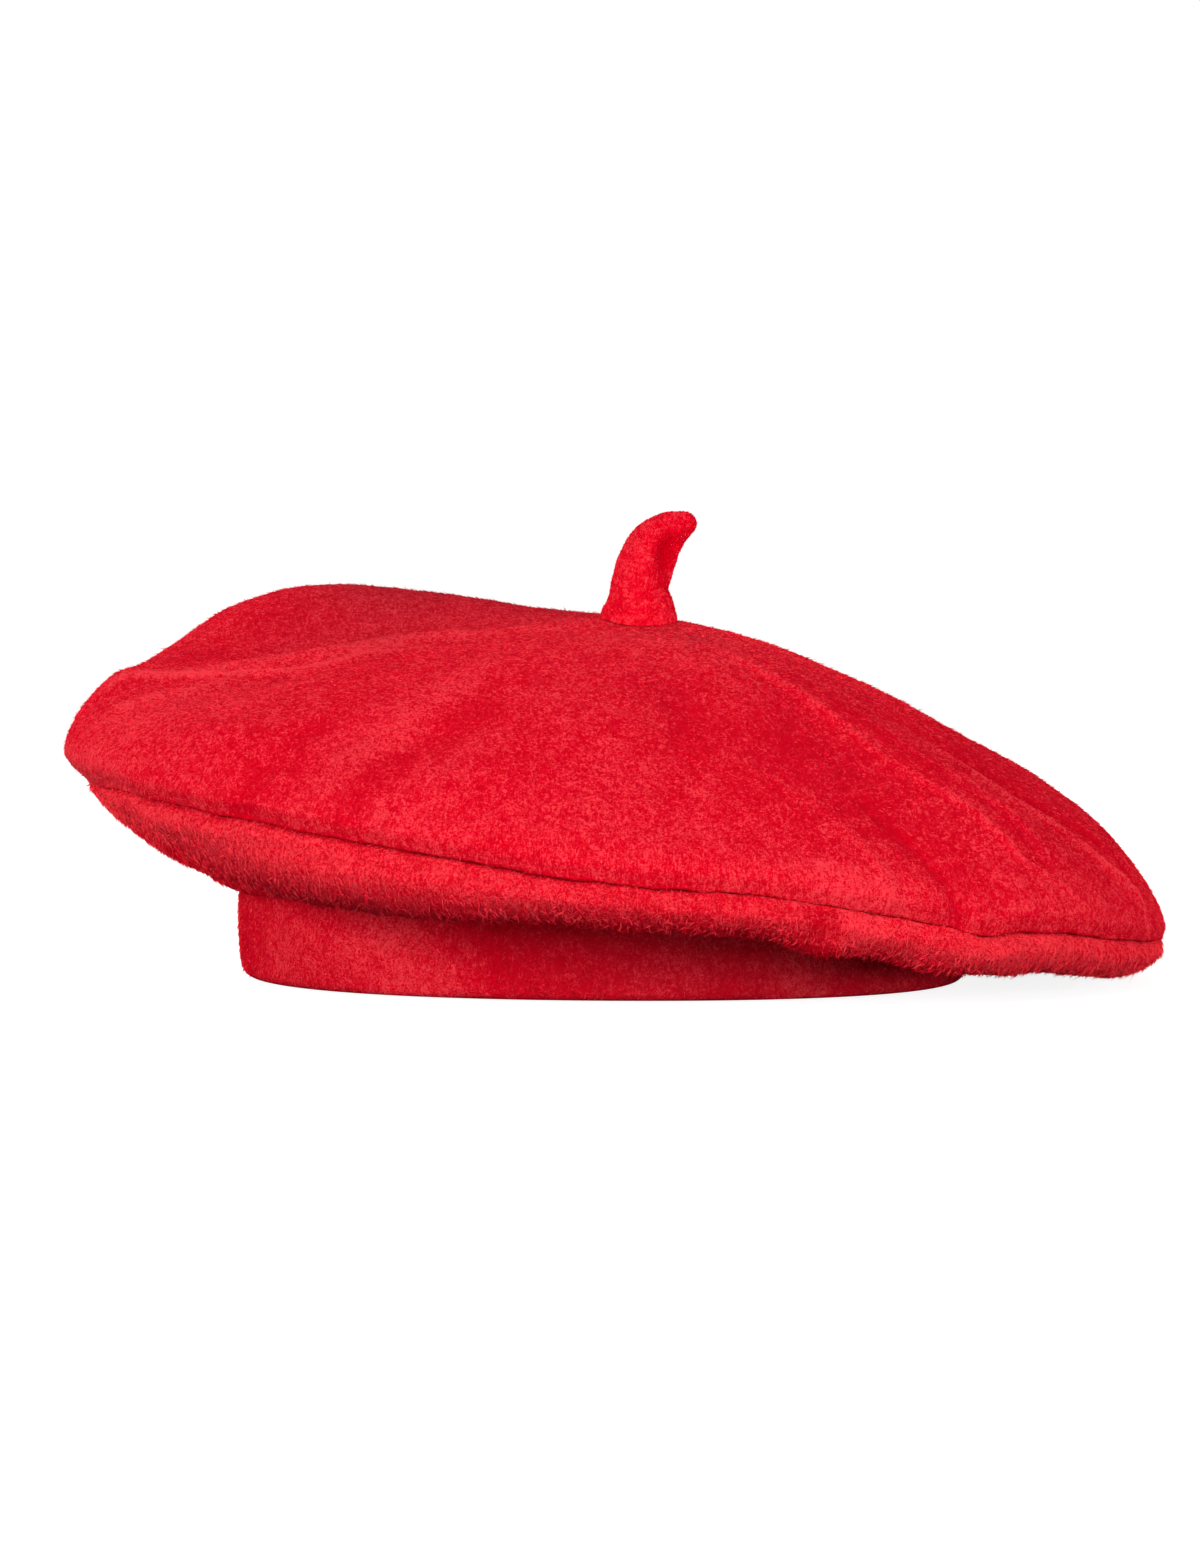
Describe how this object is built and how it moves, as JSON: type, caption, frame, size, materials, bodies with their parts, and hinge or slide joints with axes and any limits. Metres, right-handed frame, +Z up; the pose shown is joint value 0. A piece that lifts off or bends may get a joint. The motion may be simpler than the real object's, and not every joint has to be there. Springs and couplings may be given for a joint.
{
  "type": "basque beret",
  "caption": "Soft round felt beret with a rim seam, a folded headband and a small curved stalk, flopped down to one side; worn on the head.",
  "frame": {"origin": "on the surface that the hat stands on, under the middle of the rim", "axes": "+Z up out of the crown, +X towards the side that the crown flops down to, -Y to the front, the side that the view shows"},
  "size_m": [0.2794, 0.2765, 0.1184],
  "materials": {
    "crown_felt": "brushed wool felt, matt with a soft sheen",
    "panel_felt": "brushed wool felt, matt with a soft sheen",
    "band_felt": "brushed wool felt, folded double",
    "stalk_felt": "pressed wool felt"
  },
  "bodies": {
    "root": {"crown": "crown_felt", "under_panel": "panel_felt", "headband": "band_felt", "stalk": "stalk_felt"}
  },
  "joints": []
}
